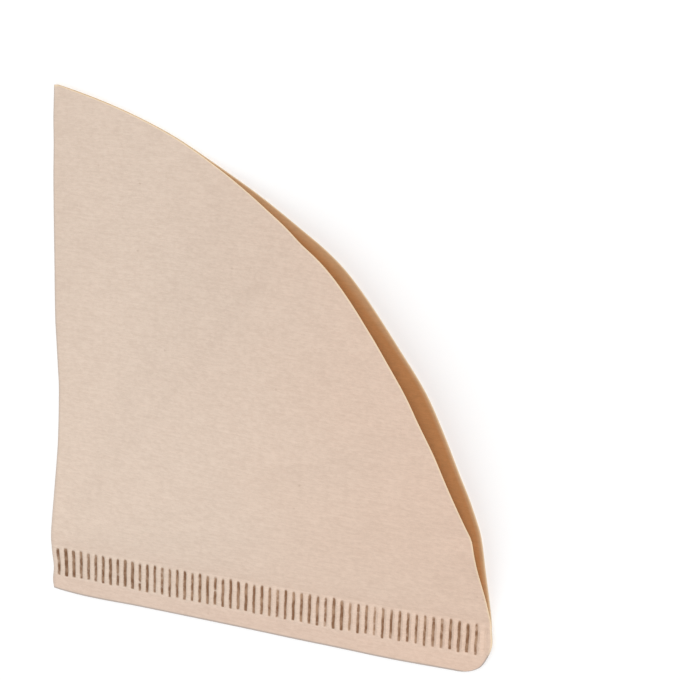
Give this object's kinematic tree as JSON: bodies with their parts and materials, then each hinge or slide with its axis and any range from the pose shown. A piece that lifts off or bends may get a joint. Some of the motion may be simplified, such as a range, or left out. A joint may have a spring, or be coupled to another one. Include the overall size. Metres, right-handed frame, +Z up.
{
  "type": "paper coffee filter",
  "caption": "Cone coffee filter of unbleached brown paper: one folded quarter-round sheet with a crimped lower seam and an open, curved mouth, lying flat.",
  "frame": {"origin": "under the middle of the sheet's box, on the surface that the filter lies on", "axes": "+X along the crimped seam from the fold towards the mouth, +Y along the fold from the seam to the mouth, +Z up through the two plies"},
  "size_m": [0.114, 0.126, 0.0108],
  "materials": {
    "unbleached_paper": "matt, finely creped filter paper"
  },
  "bodies": {
    "root": {"filter_paper": "unbleached_paper"}
  },
  "joints": []
}
